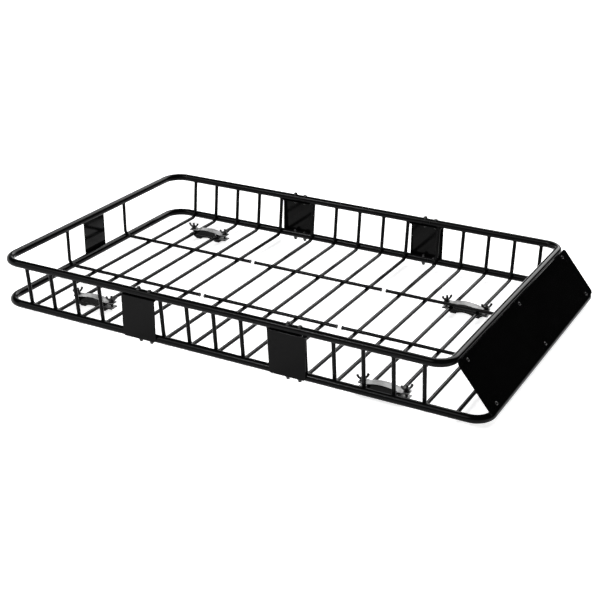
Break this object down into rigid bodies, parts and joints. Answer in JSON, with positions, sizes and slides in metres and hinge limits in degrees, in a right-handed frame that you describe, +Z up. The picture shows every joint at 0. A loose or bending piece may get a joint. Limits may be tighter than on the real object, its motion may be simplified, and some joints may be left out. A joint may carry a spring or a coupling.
{
  "type": "roof cargo basket",
  "caption": "Flat rectangular roof basket of welded steel tube with raised sides, a sloping wind fairing, bolted splice plates and roof-bar clamps with wing nuts.",
  "frame": {"origin": "under the middle of the basket, at the level of the clamps' rubber pads", "axes": "+X forward towards the fairing, +Y to the left, +Z up"},
  "size_m": [1.6438, 0.992, 0.1826],
  "materials": {
    "tube_paint": "gloss black powder coat on steel tube",
    "plate_paint": "gloss black powder coat on sheet steel",
    "fairing_paint": "smooth gloss black powder coat on sheet steel",
    "clamp_paint": "gloss black paint on pressed steel",
    "black_fastener": "black zinc plated steel",
    "cap_plastic": "moulded black plastic",
    "pad_rubber": "matt black rubber",
    "bare_steel": "plain steel tube, hidden inside the rails"
  },
  "bodies": {
    "root": {"rear_top_rail": "tube_paint", "front_top_rail": "tube_paint", "middle_top_rails": "tube_paint", "top_rail_sleeves": "bare_steel", "rear_bottom_rail": "tube_paint", "front_bottom_rail": "tube_paint", "middle_bottom_rails": "tube_paint", "bottom_rail_sleeves": "bare_steel", "rear_cross_bars": "tube_paint", "rear_long_bars": "tube_paint", "middle_cross_bars": "tube_paint", "middle_long_bars": "tube_paint", "front_cross_bars": "tube_paint", "front_long_bars": "tube_paint", "front_floor_bar": "tube_paint", "long_bar_caps": "cap_plastic", "rear_left_splice_plate": "plate_paint", "rear_right_splice_plate": "plate_paint", "front_left_splice_plate": "plate_paint", "front_right_splice_plate": "plate_paint", "rear_end_plate": "plate_paint", "seam_bolts": "black_fastener", "seam_saddle_washers": "black_fastener", "seam_nuts": "black_fastener", "fairing": "fairing_paint", "fairing_tabs": "tube_paint", "fairing_screws": "black_fastener", "fairing_nuts": "black_fastener"},
    "rear_left_clamp": {"rear_left_upper_bracket": "clamp_paint", "rear_left_clamp_washers": "black_fastener"},
    "rear_left_jaw": {"rear_left_lower_jaw": "clamp_paint", "rear_left_jaw_pads": "pad_rubber", "rear_left_jaw_bolts": "black_fastener"},
    "rear_left_nut_a": {"rear_left_wing_nut_a": "black_fastener"},
    "rear_left_nut_b": {"rear_left_wing_nut_b": "black_fastener"},
    "rear_right_clamp": {"rear_right_upper_bracket": "clamp_paint", "rear_right_clamp_washers": "black_fastener"},
    "rear_right_jaw": {"rear_right_lower_jaw": "clamp_paint", "rear_right_jaw_pads": "pad_rubber", "rear_right_jaw_bolts": "black_fastener"},
    "rear_right_nut_a": {"rear_right_wing_nut_a": "black_fastener"},
    "rear_right_nut_b": {"rear_right_wing_nut_b": "black_fastener"},
    "front_left_clamp": {"front_left_upper_bracket": "clamp_paint", "front_left_clamp_washers": "black_fastener"},
    "front_left_jaw": {"front_left_lower_jaw": "clamp_paint", "front_left_jaw_pads": "pad_rubber", "front_left_jaw_bolts": "black_fastener"},
    "front_left_nut_a": {"front_left_wing_nut_a": "black_fastener"},
    "front_left_nut_b": {"front_left_wing_nut_b": "black_fastener"},
    "front_right_clamp": {"front_right_upper_bracket": "clamp_paint", "front_right_clamp_washers": "black_fastener"},
    "front_right_jaw": {"front_right_lower_jaw": "clamp_paint", "front_right_jaw_pads": "pad_rubber", "front_right_jaw_bolts": "black_fastener"},
    "front_right_nut_a": {"front_right_wing_nut_a": "black_fastener"},
    "front_right_nut_b": {"front_right_wing_nut_b": "black_fastener"}
  },
  "joints": [
    {"name": "rear_left_clamp_slide", "type": "slide", "parent": "root", "child": "rear_left_clamp", "axis": [0, 1, 0], "range_m": [-0.159, 0.087]},
    {"name": "rear_left_nut_a_turn", "type": "hinge", "parent": "rear_left_clamp", "child": "rear_left_nut_a", "pos_m": [-0.6324, 0.34, 0.0365], "axis": [0, 0, 1], "range_deg": [0, 4320]},
    {"name": "rear_left_nut_b_turn", "type": "hinge", "parent": "rear_left_clamp", "child": "rear_left_nut_b", "pos_m": [-0.4994, 0.34, 0.0365], "axis": [0, 0, 1], "range_deg": [0, 4320]},
    {"name": "rear_left_jaw_drop", "type": "slide", "parent": "rear_left_clamp", "child": "rear_left_jaw", "axis": [0, 0, -1], "range_m": [0, 0.015]},
    {"name": "rear_right_clamp_slide", "type": "slide", "parent": "root", "child": "rear_right_clamp", "axis": [0, 1, 0], "range_m": [-0.087, 0.159]},
    {"name": "rear_right_nut_a_turn", "type": "hinge", "parent": "rear_right_clamp", "child": "rear_right_nut_a", "pos_m": [-0.6324, -0.34, 0.0365], "axis": [0, 0, 1], "range_deg": [0, 4320]},
    {"name": "rear_right_nut_b_turn", "type": "hinge", "parent": "rear_right_clamp", "child": "rear_right_nut_b", "pos_m": [-0.4994, -0.34, 0.0365], "axis": [0, 0, 1], "range_deg": [0, 4320]},
    {"name": "rear_right_jaw_drop", "type": "slide", "parent": "rear_right_clamp", "child": "rear_right_jaw", "axis": [0, 0, -1], "range_m": [0, 0.015]},
    {"name": "front_left_clamp_slide", "type": "slide", "parent": "root", "child": "front_left_clamp", "axis": [0, 1, 0], "range_m": [0, 0.246]},
    {"name": "front_left_nut_a_turn", "type": "hinge", "parent": "front_left_clamp", "child": "front_left_nut_a", "pos_m": [0.42875, 0.181, 0.0365], "axis": [0, 0, 1], "range_deg": [0, 4320]},
    {"name": "front_left_nut_b_turn", "type": "hinge", "parent": "front_left_clamp", "child": "front_left_nut_b", "pos_m": [0.56175, 0.181, 0.0365], "axis": [0, 0, 1], "range_deg": [0, 4320]},
    {"name": "front_left_jaw_drop", "type": "slide", "parent": "front_left_clamp", "child": "front_left_jaw", "axis": [0, 0, -1], "range_m": [0, 0.015]},
    {"name": "front_right_clamp_slide", "type": "slide", "parent": "root", "child": "front_right_clamp", "axis": [0, 1, 0], "range_m": [0, 0.251]},
    {"name": "front_right_nut_a_turn", "type": "hinge", "parent": "front_right_clamp", "child": "front_right_nut_a", "pos_m": [0.42875, -0.432, 0.0365], "axis": [0, 0, 1], "range_deg": [0, 4320]},
    {"name": "front_right_nut_b_turn", "type": "hinge", "parent": "front_right_clamp", "child": "front_right_nut_b", "pos_m": [0.56175, -0.432, 0.0365], "axis": [0, 0, 1], "range_deg": [0, 4320]},
    {"name": "front_right_jaw_drop", "type": "slide", "parent": "front_right_clamp", "child": "front_right_jaw", "axis": [0, 0, -1], "range_m": [0, 0.015]}
  ],
  "couplings": [
    {"joint": "rear_left_nut_a_turn", "follows": "rear_left_jaw_drop", "rad_per_m": 5026.5},
    {"joint": "rear_left_nut_b_turn", "follows": "rear_left_jaw_drop", "rad_per_m": 5026.5},
    {"joint": "rear_right_nut_a_turn", "follows": "rear_right_jaw_drop", "rad_per_m": 5026.5},
    {"joint": "rear_right_nut_b_turn", "follows": "rear_right_jaw_drop", "rad_per_m": 5026.5},
    {"joint": "front_left_nut_a_turn", "follows": "front_left_jaw_drop", "rad_per_m": 5026.5},
    {"joint": "front_left_nut_b_turn", "follows": "front_left_jaw_drop", "rad_per_m": 5026.5},
    {"joint": "front_right_nut_a_turn", "follows": "front_right_jaw_drop", "rad_per_m": 5026.5},
    {"joint": "front_right_nut_b_turn", "follows": "front_right_jaw_drop", "rad_per_m": 5026.5}
  ]
}
